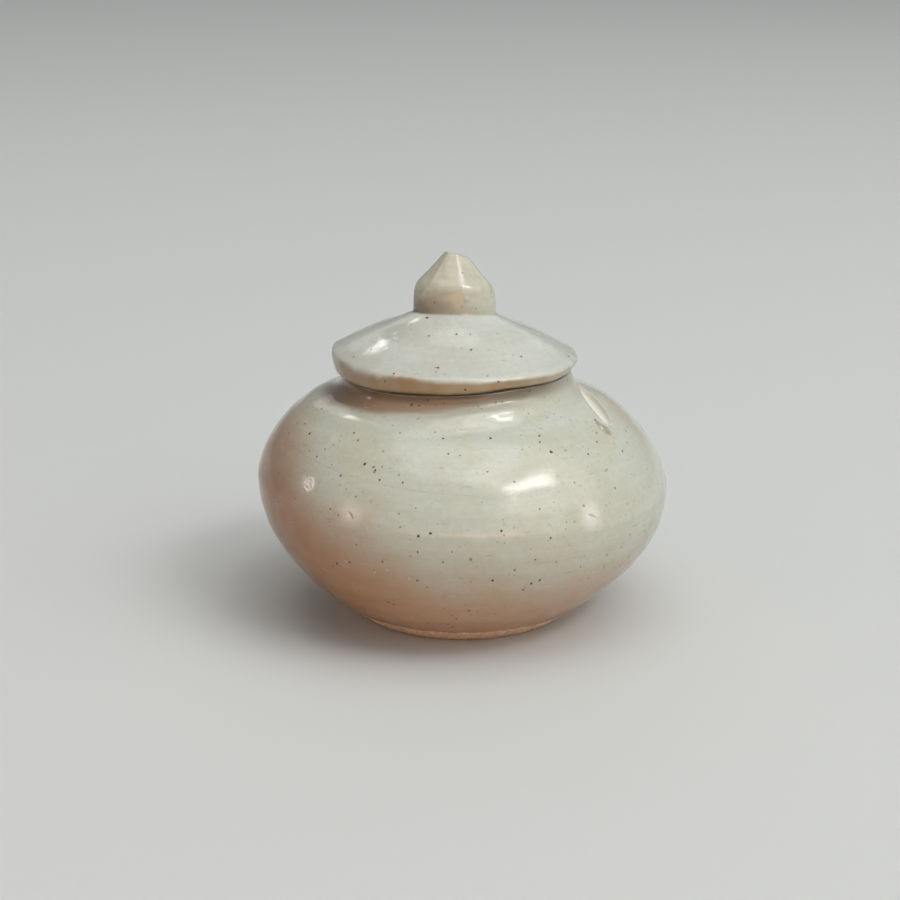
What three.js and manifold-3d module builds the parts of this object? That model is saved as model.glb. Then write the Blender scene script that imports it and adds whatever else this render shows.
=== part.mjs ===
// Porcelain ink pot: a small squat jar thrown on a wheel, with a loose lid.
// Four pieces of fired clay: the jar, the lid's plate, the knob luted on top of the plate,
// and the locating ring luted under it, which drops into the neck.
// Millimetres, +Z up. The origin is the centre of the foot's underside.
// -Y is the front and +X is the right-hand side seen from the front.

import * as THREE from 'three';
import { mergeVertices } from 'three/addons/utils/BufferGeometryUtils.js';
import Module from 'manifold-3d';

const wasm = await Module();
wasm.setup();

// Jar, outside
const bellyRadius = 31;
const bellyHeight = 20.3;
const footRadius = 16.2;
const footSlope = 36.8; // degrees that the side rises at as it leaves the foot
const footRound = 0.9;
const neckRadius = 17.1; // outside of the neck at the rim
const rimHeight = 37.3;
const shoulderDrop = 4.6; // from the rim down to where the shoulder turns up into the neck
const shoulderReach = 4.75; // from the neck out to that same turn
const shoulderSlope = 25.6; // degrees from level at the turn
const rimRound = 0.8;

// How full the curves are: each is the length of a curve's handle
const lowerSideFullness = 6;
const underBellyFullness = 10;
const overBellyFullness = 3.5;
const shoulderFullness = 5.7;
const neckFlareFullness = 3;

// Jar, inside and underneath
const wall = 3;
const floorThickness = 3.6;
const footRingWidth = 3.4;
const footRecess = 0.8; // how far the clay was turned away inside the foot ring
const footRecessSlope = 0.8; // width of the sloping side of that recess

// Groove pressed into the right shoulder, and the pit that it ends in
const grooveAzimuthAtNeck = 91; // degrees round from the front
const grooveAzimuthAtPit = 66;
const grooveStart = 1.2; // from the neck's outside
const grooveEnd = 2.1; // past the shoulder's turn
const grooveRadius = 1.6;
const grooveDepth = 0.9;
const pitAzimuth = 61.5;
const pitLength = 2.4;
const pitWidth = 1.9;
const pitDepth = 0.8;
const pitOffset = 2.1; // past the shoulder's turn, to the pit's middle

// Lid
const lidOverhang = 0.7; // of the lid's lower edge past the neck
const lidEdgeFlare = 0.7; // that the edge leans out by on its way up
const lidEdgeHeight = 2.1;
const lidEdgeRound = 0.6;
const lidRise = 6; // from the top of the edge to the knob's seat
const lidCrown = 0.2; // how far the slope bulges above a straight cone
const ringDepth = 4.5;
const ringWall = 2.2;
const ringClearance = 0.8; // between the ring and the neck's inside
const ringRound = 0.5;

// Knob
const knobRadius = 6.15;
const knobTaper = 0.3; // that the knob narrows by up to its ridge
const knobRidgeHeight = 3.7;
const knobHeight = 8.8;
const knobTipRadius = 1.65;
const knobTipRound = 0.4;
const knobTipCut = 14; // degrees that the tip is cut askew by, right-hand side down
const knobRidgeRound = 0.6;

// Gap that stands for the thin joint between two luted or resting pieces
const jointGap = 0.3;

// How the soft clay moved on the wheel and in the kiln
const bellyTilt = 1.2; // degrees, right-hand side down
const rimTilt = -0.5; // degrees, left-hand side down
const neckLean = -0.9; // sideways shift of the neck
const lidTopTilt = 2.2; // degrees, right-hand side down, of the lid's top on its level seat
const lidOffset = -0.3; // sideways, inside the ring's clearance
const knobTilt = 8; // degrees, front side up
const knobTiltBlend = 3; // height on the lid's slope over which that tilt comes in

// Shares of the rim's height between which those movements come in
const tiltStarts = 0;
const tiltIsFull = 0.3;
const rimTiltStarts = 0.6;
const neckLeanStarts = 0.5;

// Fineness of the faceted surfaces
const jarSides = 60;
const lidSides = 60;
const knobSides = 36;
const ringSides = 48;
const toolSides = 20;
const toolRings = 14;
const curveSteps = 8;
const cornerSteps = 3;
const sameVertex = 1e-5; // vertices nearer than this are one

const glaze = { color: '#c3c4b6', roughness: 0.25, metalness: 0 };
const glazeWarm = { color: '#b5ab94', roughness: 0.3, metalness: 0 };
const bareClay = { color: '#b09a80', roughness: 0.8, metalness: 0 };

const radians = THREE.MathUtils.degToRad;
const at = (radius, height) => new THREE.Vector2(radius, height);

// A point that lies a given distance from another, at an angle from level in degrees
function step(from, angle, distance) {
  const turn = radians(angle);
  return at(from.x + distance * Math.cos(turn), from.y + distance * Math.sin(turn));
}

function curve(start, startHandle, endHandle, end) {
  return new THREE.CubicBezierCurve(start, startHandle, endHandle, end).getPoints(curveSteps);
}

// Replaces a sharp corner of a profile by a curve that starts and ends `reach` from the corner
function roundCorner(before, corner, after, reach) {
  const towards = (other) => {
    const room = Math.min(reach, corner.distanceTo(other) / 2);
    return other.clone().sub(corner).setLength(room).add(corner);
  };
  return new THREE.QuadraticBezierCurve(towards(before), corner, towards(after)).getPoints(cornerSteps);
}

// Outside of the jar from the foot's edge up to the rim
const foot = at(footRadius, 0);
const belly = at(bellyRadius, bellyHeight);
const shoulder = at(neckRadius + shoulderReach, rimHeight - shoulderDrop);
const rim = at(neckRadius, rimHeight);
const upTheShoulder = 180 - shoulderSlope;
const lowerSide = curve(
  foot,
  step(foot, footSlope, lowerSideFullness),
  step(belly, -90, underBellyFullness),
  belly,
);
const upperSide = curve(
  belly,
  step(belly, 90, overBellyFullness),
  step(shoulder, upTheShoulder, -shoulderFullness),
  shoulder,
);
const neckSide = curve(
  shoulder,
  step(shoulder, upTheShoulder, neckFlareFullness),
  step(rim, -90, neckFlareFullness),
  rim,
);
const outside = [...lowerSide, ...upperSide.slice(1), ...neckSide.slice(1)];

// Height of the shoulder at a radius between the neck and the belly
function shoulderHeight(radius) {
  const slope = [...upperSide, ...neckSide.slice(1)];
  const upper = slope.findIndex((point) => point.x < radius);
  const a = slope[upper - 1];
  const b = slope[upper];
  return THREE.MathUtils.mapLinear(radius, a.x, b.x, a.y, b.y);
}

// Follows a profile at an even distance inside it
function insetProfile(points, distance) {
  return points.map((point, index) => {
    const before = points[Math.max(index - 1, 0)];
    const after = points[Math.min(index + 1, points.length - 1)];
    const along = after.clone().sub(before).normalize();
    return at(point.x - along.y * distance, point.y + along.x * distance);
  });
}

// Turns a profile of radius and height round the Z axis
function turned(profile, sides) {
  const geometry = new THREE.LatheGeometry(profile, sides);
  geometry.rotateX(Math.PI / 2);
  return geometry;
}

function toSolid(geometry) {
  geometry.deleteAttribute('normal');
  geometry.deleteAttribute('uv');
  const merged = mergeVertices(geometry, sameVertex);
  const corners = merged.index.array;
  const triangles = [];
  for (let i = 0; i < corners.length; i += 3) {
    const [a, b, c] = corners.slice(i, i + 3);
    if (a !== b && b !== c && c !== a) triangles.push(a, b, c);
  }
  return new wasm.Manifold(new wasm.Mesh({
    numProp: 3,
    vertProperties: new Float32Array(merged.attributes.position.array),
    triVerts: new Uint32Array(triangles),
  }));
}

function toGeometry(solid) {
  const mesh = solid.getMesh();
  const geometry = new THREE.BufferGeometry();
  geometry.setAttribute('position', new THREE.BufferAttribute(mesh.vertProperties, 3));
  geometry.setIndex(new THREE.BufferAttribute(mesh.triVerts, 1));
  return geometry;
}

// Heights that the lid is stacked from
const lidSeat = rimHeight + jointGap;
const lidEdgeTop = lidSeat + lidEdgeHeight;
const knobSeat = lidEdgeTop + lidRise;
const knobBase = knobSeat + jointGap;

// Moves every piece alike by the jar's tilt and lean, so that what fits together still fits.
// The foot stays flat on the table, and from the rim upwards the lean no longer changes.
// `offset` is a further sideways shift of the whole piece.
function settle(geometry, offset) {
  const { smoothstep, clamp } = THREE.MathUtils;
  const position = geometry.attributes.position;
  const point = new THREE.Vector3();
  for (let i = 0; i < position.count; i += 1) {
    point.fromBufferAttribute(position, i);
    const share = clamp(point.z / rimHeight, 0, 1);
    const midHeight = 4 * share * (1 - share); // 1 halfway up, 0 at the foot and the rim
    const sag = bellyTilt * midHeight * smoothstep(share, tiltStarts, tiltIsFull);
    const tilt = sag + rimTilt * smoothstep(share, rimTiltStarts, 1);
    const lidShare = clamp((point.z - lidSeat) / lidEdgeHeight, 0, 1);
    const knobRise = Math.tan(radians(knobTilt)) * smoothstep(point.z, knobSeat - knobTiltBlend, knobSeat);
    const drop = point.x * (Math.tan(radians(tilt)) + lidShare * Math.tan(radians(lidTopTilt)))
      + point.y * knobRise;
    const shift = neckLean * smoothstep(share, neckLeanStarts, 1) + offset;
    position.setXYZ(i, point.x + shift, point.y, point.z - drop);
  }
  geometry.computeVertexNormals();
  return geometry;
}

function piece(name, geometry, finish, offset) {
  const mesh = new THREE.Mesh(settle(geometry, offset), new THREE.MeshStandardMaterial(finish));
  mesh.name = name;
  return mesh;
}

// Point on the shoulder before settling, by its radius and its azimuth in degrees from the front
function onShoulder(radius, azimuth) {
  const turn = radians(azimuth);
  return new THREE.Vector3(radius * Math.sin(turn), -radius * Math.cos(turn), shoulderHeight(radius));
}

// Egg-shaped tool that a groove or pit is pressed with, its long axis from `start` to `end`,
// held so that it sinks `depth` below the line between them
function pressingTool(start, end, radius, depth, extraLength) {
  const along = end.clone().sub(start);
  const length = along.length() + extraLength;
  const tool = new THREE.SphereGeometry(radius, toolSides, toolRings);
  tool.scale(1, length / 2 / radius, 1);
  const outward = new THREE.Vector3(-along.y, along.x, 0).cross(along).normalize();
  if (outward.z < 0) outward.negate();
  const middle = start.clone().lerp(end, 0.5).addScaledVector(outward, radius - depth);
  const turn = new THREE.Quaternion().setFromUnitVectors(new THREE.Vector3(0, 1, 0), along.normalize());
  tool.applyQuaternion(turn);
  tool.translate(middle.x, middle.y, middle.z);
  return toSolid(tool);
}

function jar() {
  const inside = insetProfile(outside, wall).filter((point) => point.y > floorThickness).reverse();
  const lip = inside[0];
  const floorEdge = inside[inside.length - 1];
  const ringInside = footRadius - footRound - footRingWidth;
  const profile = [
    at(0, footRecess),
    at(ringInside - footRecessSlope, footRecess),
    at(ringInside, 0),
    ...roundCorner(at(0, 0), foot, outside[1], footRound),
    ...outside.slice(1, -1),
    ...roundCorner(outside[outside.length - 2], rim, lip, rimRound),
    ...roundCorner(rim, lip, inside[1], rimRound),
    ...inside.slice(1, -1),
    ...roundCorner(inside[inside.length - 2], at(floorEdge.x, floorThickness), at(0, floorThickness), wall),
    at(0, floorThickness),
  ];
  const body = toSolid(turned(profile, jarSides));

  const turnRadius = neckRadius + shoulderReach;
  const groove = pressingTool(
    onShoulder(neckRadius + grooveStart, grooveAzimuthAtNeck),
    onShoulder(turnRadius + grooveEnd, grooveAzimuthAtPit),
    grooveRadius,
    grooveDepth,
    grooveRadius,
  );
  const pitRadius = turnRadius + pitOffset;
  const pit = pressingTool(
    onShoulder(pitRadius - pitLength / 2, pitAzimuth),
    onShoulder(pitRadius + pitLength / 2, pitAzimuth),
    pitWidth / 2,
    pitDepth,
    0,
  );
  return piece('pot_body', toGeometry(body.subtract(groove).subtract(pit)), glaze, 0);
}

function lidPlate() {
  const lowerRadius = neckRadius + lidOverhang;
  const upperRadius = lowerRadius + lidEdgeFlare;
  const underEdge = at(lowerRadius, lidSeat);
  const overEdge = at(upperRadius, lidEdgeTop);
  const seatEdge = at(knobRadius, knobSeat);
  const slope = new THREE.QuadraticBezierCurve(
    overEdge,
    at((upperRadius + knobRadius) / 2, (lidEdgeTop + knobSeat) / 2 + 2 * lidCrown),
    seatEdge,
  ).getPoints(curveSteps);
  return piece('lid_plate', turned([
    at(0, lidSeat),
    ...roundCorner(at(0, lidSeat), underEdge, overEdge, lidEdgeRound),
    ...roundCorner(underEdge, overEdge, slope[1], lidEdgeRound),
    ...slope.slice(1),
    at(0, knobSeat),
  ], lidSides), glaze, lidOffset);
}

function lidKnob() {
  const bottom = at(knobRadius, knobBase);
  const ridge = at(knobRadius - knobTaper, knobBase + knobRidgeHeight);
  const shoulderOfTip = at(knobTipRadius, knobBase + knobHeight - knobTipRound);
  const tip = at(0, knobBase + knobHeight);
  const nearTip = at(knobTipRadius, tip.y);
  const knob = toSolid(turned([
    at(0, knobBase),
    bottom,
    ...roundCorner(bottom, ridge, shoulderOfTip, knobRidgeRound),
    ...new THREE.QuadraticBezierCurve(shoulderOfTip, nearTip, tip).getPoints(cornerSteps),
  ], knobSides));

  // The blade goes in at the left edge of the tip
  const blade = new THREE.BoxGeometry(2 * knobRadius, 2 * knobRadius, knobHeight);
  blade.translate(knobRadius, 0, knobHeight / 2);
  blade.rotateY(radians(knobTipCut));
  blade.translate(-knobTipRadius, 0, tip.y);
  return piece('lid_knob', toGeometry(knob.subtract(toSolid(blade))), glazeWarm, lidOffset);
}

function lidRing() {
  const outer = neckRadius - wall - ringClearance;
  const inner = outer - ringWall;
  const top = lidSeat - jointGap;
  const bottom = lidSeat - ringDepth;
  const lowerOuter = at(outer, bottom);
  const lowerInner = at(inner, bottom);
  return piece('lid_locating_ring', turned([
    at(inner, top),
    ...roundCorner(at(inner, top), lowerInner, lowerOuter, ringRound),
    ...roundCorner(lowerInner, lowerOuter, at(outer, top), ringRound),
    at(outer, top),
    at(inner, top),
  ], ringSides), bareClay, lidOffset);
}

const lid = new THREE.Group();
lid.add(lidPlate(), lidKnob(), lidRing());

const inkPot = new THREE.Group();
inkPot.add(jar(), lid);

export default inkPot;
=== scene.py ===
"""Looks of the porcelain ink pot: a small squat jar thrown on a wheel, with a loose lid.

The four pieces are turned finely on the same outlines as the CAD solids, then worked by hand:
throwing marks, lumps, the groove pressed into the shoulder, the cut faces of the knob.
Sizes are in mm until a piece is finished, and azimuths are degrees from the front, to the right.
"""

import math

import bmesh
import bpy
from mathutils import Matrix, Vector, noise
from mathutils.geometry import interpolate_bezier


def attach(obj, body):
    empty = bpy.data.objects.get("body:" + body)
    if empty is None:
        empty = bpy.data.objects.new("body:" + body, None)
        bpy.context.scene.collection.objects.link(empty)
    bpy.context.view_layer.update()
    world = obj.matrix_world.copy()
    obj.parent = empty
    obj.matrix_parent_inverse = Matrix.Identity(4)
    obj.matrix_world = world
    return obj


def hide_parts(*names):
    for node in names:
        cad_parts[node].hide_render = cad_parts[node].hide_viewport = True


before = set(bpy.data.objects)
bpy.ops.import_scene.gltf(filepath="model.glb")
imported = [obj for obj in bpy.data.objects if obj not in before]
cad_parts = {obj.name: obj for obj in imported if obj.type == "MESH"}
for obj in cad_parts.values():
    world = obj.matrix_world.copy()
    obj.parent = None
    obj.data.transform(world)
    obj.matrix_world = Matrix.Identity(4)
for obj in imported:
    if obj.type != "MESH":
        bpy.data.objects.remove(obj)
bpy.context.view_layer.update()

MM = 0.001  # metres

# Jar, as in the CAD source
BELLY_RADIUS = 31
BELLY_HEIGHT = 20.3
FOOT_RADIUS = 16.2
FOOT_SLOPE = 36.8
FOOT_ROUND = 0.9
FOOT_RING_WIDTH = 3.4
FOOT_RECESS = 0.8
FOOT_RECESS_SLOPE = 0.8
NECK_RADIUS = 17.1
RIM_HEIGHT = 37.3
RIM_ROUND = 0.8
SHOULDER_DROP = 4.6
SHOULDER_REACH = 4.75
SHOULDER_SLOPE = 25.6
LOWER_SIDE_FULLNESS = 6
UNDER_BELLY_FULLNESS = 10
OVER_BELLY_FULLNESS = 3.5
SHOULDER_FULLNESS = 5.7
NECK_FLARE_FULLNESS = 3
WALL = 3
FLOOR_THICKNESS = 3.6

# Lid and knob, as in the CAD source
JOINT_GAP = 0.3
LID_OVERHANG = 0.7
LID_EDGE_FLARE = 0.7
LID_EDGE_HEIGHT = 2.1
LID_EDGE_ROUND = 0.6
LID_RISE = 6
LID_CROWN = 0.2
RING_DEPTH = 4.5
RING_WALL = 2.2
RING_CLEARANCE = 0.8
RING_ROUND = 0.5
KNOB_RADIUS = 6.15
KNOB_TAPER = 0.3
KNOB_RIDGE_HEIGHT = 3.7
KNOB_HEIGHT = 8.8
KNOB_TIP_RADIUS = 1.65
KNOB_TIP_ROUND = 0.4
KNOB_TIP_CUT = 14
KNOB_RIDGE_ROUND = 0.6

# How the clay moved on the wheel and in the kiln, as in the CAD source
BELLY_TILT = 1.2
RIM_TILT = -0.5
NECK_LEAN = -0.9
LID_TOP_TILT = 2.2
LID_OFFSET = -0.3
KNOB_TILT = 8
KNOB_TILT_BLEND = 3
TILT_IS_FULL = 0.3
RIM_TILT_STARTS = 0.6
NECK_LEAN_STARTS = 0.5

# Groove pressed into the right shoulder and the pit at its end, as in the CAD source but for the groove's
# radius: it is narrower here, because thick glaze ran in from its sides
GROOVE_AZIMUTHS = (91, 66)
GROOVE_START = 1.2
GROOVE_END = 2.1
GROOVE_RADIUS = 1.3
GROOVE_DEPTH = 0.9
PIT_AZIMUTH = 61.5
PIT_LENGTH = 2.4
PIT_WIDTH = 1.9
PIT_DEPTH = 0.8
PIT_OFFSET = 2.1

# How much wider the groove gets towards the pit, as a share of its radius, and how soft the pressed edges are
GROOVE_TAPER = 0.3
GROOVE_SOFTNESS = 0.5
PIT_SOFTNESS = 0.05

# Bead of glaze at the bottom of the pit
BEAD_WIDTH = 0.8
BEAD_HEIGHT = 0.5

# Faces that the knob's cone was cut to: how many, and the azimuth of one of their edges
KNOB_CUTS = 7
KNOB_FIRST_CUT = 12
KNOB_CUT_SOFTNESS = 0.2
KNOB_CUT_SHARE = 0.6  # how much of a flat face each cut made

# Beads of glaze on the knob: azimuth, height on the side, width, how far each stands out
KNOB_BEADS = ((-50, 48.2, 1.8, 0.28), (16, 47.9, 1.0, 0.2), (44, 48.2, 0.9, 0.2), (11, 49.8, 1.2, 0.14),
              (-20, 47.5, 3.4, 0.2), (32, 47, 3, 0.18))

# Lumps in the lid's glaze, given in the same way
LID_LUMPS = ((-52, 43.3, 1.5, 0.08), (-47, 43.1, 1.1, 0.06), (-43, 42.1, 1.2, 0.07), (-49, 40.7, 0.9, 0.05),
             (-40, 41.0, 0.9, 0.05))

# Unevenness of the lid's edge, as height and width of the waves
LID_EDGE_WAVES = (0.22, 5)
LID_EDGE_GRIT = (0.08, 1.6)

# Tan band round the lid's edge: how far its top lies below the slope, the waves of that, its mottling,
# the side where painted shade darkens it and the side where it is faint
BAND_DROP = 0.9
BAND_WAVES = (0.7, 5)
BAND_GRIT = (0.2, 1.2)
BAND_MOTTLING = (0.25, 2)
BAND_SHADED_SIDE = (-75, 190)
BAND_FAINT_SIDE = (75, 130)

# Unevenness and mottling of the knob, and its sides: painted shade at its foot, tan, the darkest painted
# shade and dark reflection, and painted shade in front
KNOB_WAVES = (0.14, 4)
KNOB_GRIT = (0.06, 1.5)
KNOB_MOTTLING = (0.7, 1.6)
KNOB_SHADED_SIDE = (-70, 180)
KNOB_TAN_SIDE = (-35, 200)
KNOB_DARK_SIDE = (-85, 80)
KNOB_FRONT_SIDE = (-15, 120)

# Unevenness of the locating ring
RING_WAVES = (0.1, 5)
RING_GRIT = (0.05, 0.9)

LID_SEAT = RIM_HEIGHT + JOINT_GAP
LID_EDGE_TOP = LID_SEAT + LID_EDGE_HEIGHT
KNOB_SEAT = LID_EDGE_TOP + LID_RISE
KNOB_BASE = KNOB_SEAT + JOINT_GAP
SHOULDER_RADIUS = NECK_RADIUS + SHOULDER_REACH

# Fineness of the meshes
OUTSIDE_SPACING = 0.36
HIDDEN_SPACING = 1.3
CORNER_SPACING = 0.15
JAR_SIDES = 360
LID_SIDES = 320
KNOB_SIDES = 176
RING_SIDES = 160
SAME_POINT = 1e-4

# Unevenness that thrown clay and thick glaze keep, as height and width of the waves
WOBBLE = (0.10, 15)
GLAZE_RIPPLE = (0.03, 4.5)
THROWING_RING = (0.018, 3.4)
GRIT = (0.15, 1.1)
FINE_GRIT = (0.05, 0.4)

# Brown glaze that pooled under the lid, with painted shade and painted warm reflection in it: height of its
# lower edge in front, how much higher that is on the right, its waves, half its soft edge, and how much
# softer it is on the side of the painted warmth
POOL_MIDDLE = 35.25
POOL_SLANT = 1.5
POOL_EDGE_WAVES = (0.2, 3)
POOL_BLUR = 0.3
POOL_PAINTED_WARMTH_BLUR = 0.5

# How brown it is there and at the rim, where the brown is painted shade in the seam, how much more (painted
# shade) or less on two sides, and how thin the glaze is there, which also paints warm reflection
POOL_STRENGTH = 0.3
POOL_LEFT_GAIN = 0.42
POOL_RIGHT_LOSS = 0.27
RIM_SEAM_SHADE_STRENGTH = 0.8
RIM_SEAM_SHADE_RIGHT_LOSS = 0.4
POOL_LEFT_SIDE = (-75, 80)
POOL_RIGHT_SIDE = (70, 100)
POOL_THINNESS = 0.1
POOL_THIN_GAIN = 0.55
POOL_THIN_SIDE = (-50, 190)

# Tan on the lower side, thin glaze near the foot with painted warm reflection and shade over it: how high it
# reaches, how much higher on the left, half its soft edge
TAN_HEIGHT = 12
TAN_CLIMB = 17
TAN_BLUR = 8
TAN_STRENGTH = 0.75
TAN_EDGE_WAVES = (1.6, 8)
TAN_PATCHES = (0.12, 2.4)

# Side where the painted warm reflection and shade are strongest. Every side is given as its azimuth and its
# breadth in degrees
PAINTED_WARMTH_SIDE = (-85, 185)

# The darkest tan, painted shade and warm reflection on the lower left: how broad it is near the foot, how
# much broader above, the heights between which it broadens, and how dark it is
LOWER_LEFT_SHADE_BREADTH = 115
LOWER_LEFT_SHADE_BROADENS = 90
LOWER_LEFT_SHADE_HEIGHTS = (4, 11)
LOWER_LEFT_SHADE_STRENGTH = 0.5

# Faint painted warm reflections on the upper sides, and the heights between which the left one fades
LEFT_WARM_REFLECTION_SIDE = (-92, 120)
LEFT_WARM_REFLECTION_STRENGTH = 0.55
LEFT_WARM_REFLECTION_FADES = (14, 39)
RIGHT_WARM_REFLECTION_SIDE = (95, 110)
RIGHT_WARM_REFLECTION_STRENGTH = 0.13

# Thick glaze that fills the hollow under the neck, most of all in front on the right: how far below the
# pooled glaze its middle lies, its width along the side, how thick it is there, and the share of that
# on other sides
FILLET_BELOW = 1.15
FILLET_WIDTH = 5.4
FILLET_RISE = 0.74
FILLET_SIDE = (18, 110)
FILLET_LEAST = 0.3
FILLET_SLOPE = 0.53  # height gained for each mm along the side there

# Where the glaze ends above the foot and where the belly is widest, both along the side from the foot
GLAZE_LINE = 3.2
BELLY_RUN = 26

# Lumps under the jar's glaze: azimuth, height on the side, width, how far each stands out
LUMPS = ((-47, 31, 3.4, 0.10), (-52, 35.5, 2.2, 0.15), (-44, 26, 1.6, 0.05),
         (5, 34.7, 6, 0.31), (14, 34.7, 6, 0.31), (23, 34.7, 6, 0.31))

# Nicks in the jar's side: azimuth, height, length, and degrees that each runs down to the right
NICKS = ((36, 22.5, 1.7, 30), (-30, 22.5, 1.2, 50))
NICK_WIDTH = 0.45
NICK_DEPTH = 0.28
NICK_HALO = 5.6  # width of the patch of thicker glaze round a nick

# Thin line scratched round the front of the belly: height in the middle, slope and bow, and where it ends
SCRATCH_HEIGHT = 26.4
SCRATCH_SLOPE = -0.044
SCRATCH_BOW = 0.002
SCRATCH_ENDS = (-26, 2)
SCRATCH_WIDTH = 0.09

# Where the lid's edge and the rim under it sag (down) and rise: azimuth, breadth in degrees, drop
SEAM_WAVES = ((-46, 120, 0.45), (33, 64, -0.25))

# The largest iron specks: azimuth, height, width
JAR_SPECKS = (
    (-29, 29, 0.55), (-25, 28.5, 0.4), (-23, 27.5, 0.4), (-16, 27.5, 0.42), (-39, 32, 0.4),
    (-5, 32.5, 0.4), (12, 32.5, 0.42), (31, 30.5, 0.55), (44, 29.5, 0.42), (-3, 31, 0.35),
    (-8, 21.5, 0.5), (-11, 21, 0.5), (10, 22, 0.42), (23, 20.5, 0.4), (19, 17.5, 0.4),
    (8, 14.5, 0.5), (17, 12.5, 0.42), (2, 8.5, 0.5), (-2, 6.5, 0.42), (-5, 5, 0.42),
    (-23, 9, 0.42), (-21, 16.5, 0.42), (-36, 14.5, 0.5), (-58, 30.5, 0.5), (60, 28.5, 0.4),
)
LID_SPECKS = ((-8, 41, 0.45), (2, 44, 0.4), (20, 39.5, 0.45), (5, 38.5, 0.5), (-33, 45.2, 0.6),
              (-85, 45.9, 0.6))
KNOB_SPECKS = ((-28, 47.3, 0.35),)

SPECK_BLUR = 0.1  # width of the soft edge of a speck

# Camera: where it stands and the point that the middle of the image shows
CAMERA_AT = (0, -248.0, 98.2)
CAMERA_AIM = (-1.9, 1.2, 23.9)
FIELD_OF_VIEW = 29.6


def colour(hex_code):
    """A linear colour from an sRGB hex code."""
    channels = [int(hex_code[i:i + 2], 16) / 255 for i in (1, 3, 5)]
    return [c / 12.92 if c <= 0.04045 else ((c + 0.055) / 1.055) ** 2.4 for c in channels] + [1]


def clamp(value, low=0.0, high=1.0):
    return max(low, min(high, value))


def smooth(value, start, end):
    """Goes from 0 at start to 1 at end with no kink."""
    share = clamp((value - start) / (end - start))
    return share * share * (3 - 2 * share)


def bell(distance, width):
    """1 in the middle, fading to nothing at half the width."""
    return 1 - smooth(abs(distance), 0, width / 2)


# Outlines: points of radius and height, on stretches that have names

def point(radius, height):
    return Vector((radius, height))


def step(start, angle, distance):
    """The point at a distance from start, at an angle from level in degrees."""
    turn = math.radians(angle)
    return start + distance * point(math.cos(turn), math.sin(turn))


def curve(start, start_handle, end_handle, end, spacing):
    count = max(4, round((end - start).length / spacing) + 1)
    return [p.to_2d() for p in interpolate_bezier(start, start_handle, end_handle, end, count)]


def line(start, end, spacing):
    count = max(1, round((end - start).length / spacing))
    return [start.lerp(end, i / count) for i in range(count + 1)]


def corner(before, tip, after, reach, spacing=CORNER_SPACING):
    """A sharp corner replaced by a curve that starts and ends `reach` from its tip."""
    start = tip + (before - tip).normalized() * min(reach, (before - tip).length / 2)
    end = tip + (after - tip).normalized() * min(reach, (after - tip).length / 2)
    return curve(start, start.lerp(tip, 2 / 3), end.lerp(tip, 2 / 3), end, spacing)


def inset(points, distance):
    """Follows an outline at an even distance inside it."""
    found = []
    for i, here in enumerate(points):
        along = (points[min(i + 1, len(points) - 1)] - points[max(i - 1, 0)]).normalized()
        found.append(point(here.x - along.y * distance, here.y + along.x * distance))
    return found


def joined(stretches):
    """One outline from named stretches, and how far along it each of them starts."""
    points, runs, starts = [], [], {}
    for name, stretch in stretches.items():
        for place in stretch:
            gap = (place - points[-1]).length if points else 0
            if not points or gap > SAME_POINT:
                runs.append(runs[-1] + gap if runs else 0)
                points.append(place)
            starts.setdefault(name, runs[-1])
    starts["end"] = runs[-1]
    return points, runs, starts


def jar_sides():
    """The outside of the jar in three curves: foot to belly, belly to shoulder, shoulder to rim."""
    foot = point(FOOT_RADIUS, 0)
    belly = point(BELLY_RADIUS, BELLY_HEIGHT)
    shoulder = point(SHOULDER_RADIUS, RIM_HEIGHT - SHOULDER_DROP)
    rim = point(NECK_RADIUS, RIM_HEIGHT)
    up_the_shoulder = 180 - SHOULDER_SLOPE
    lower = curve(foot, step(foot, FOOT_SLOPE, LOWER_SIDE_FULLNESS),
                  step(belly, -90, UNDER_BELLY_FULLNESS), belly, OUTSIDE_SPACING)
    upper = curve(belly, step(belly, 90, OVER_BELLY_FULLNESS),
                  step(shoulder, up_the_shoulder, -SHOULDER_FULLNESS), shoulder, OUTSIDE_SPACING)
    neck = curve(shoulder, step(shoulder, up_the_shoulder, NECK_FLARE_FULLNESS),
                 step(rim, -90, NECK_FLARE_FULLNESS), rim, OUTSIDE_SPACING * 0.8)
    return lower, upper, neck


LOWER_SIDE, UPPER_SIDE, NECK_SIDE = jar_sides()


def radius_at(height):
    """Radius of the jar's outside at a height."""
    points = LOWER_SIDE + UPPER_SIDE + NECK_SIDE
    above = next(i for i, p in enumerate(points) if p.y > height)
    a, b = points[above - 1], points[above]
    return a.x + (b.x - a.x) * (height - a.y) / (b.y - a.y)


def lid_radius_at(height):
    """Radius of the lid's outside at a height."""
    lower_radius = NECK_RADIUS + LID_OVERHANG
    upper_radius = lower_radius + LID_EDGE_FLARE
    if height < LID_EDGE_TOP:
        return lower_radius + LID_EDGE_FLARE * (height - LID_SEAT) / LID_EDGE_HEIGHT
    share = (height - LID_EDGE_TOP) / LID_RISE
    bulge = 4 * LID_CROWN * share * (1 - share) * (upper_radius - KNOB_RADIUS) / LID_RISE
    return upper_radius + (KNOB_RADIUS - upper_radius) * share + bulge


def on_side(radius, azimuth, height):
    turn = math.radians(azimuth)
    return Vector((radius * math.sin(turn), -radius * math.cos(turn), height))


def on_shoulder(radius, azimuth):
    """Point of the shoulder at a radius, before the clay moved."""
    points = UPPER_SIDE + NECK_SIDE
    inner = next(i for i, p in enumerate(points) if p.x < radius)
    a, b = points[inner - 1], points[inner]
    height = a.y + (b.y - a.y) * (radius - a.x) / (b.x - a.x)
    return on_side(radius, azimuth, height)


# Turning, pressing and settling the clay

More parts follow.
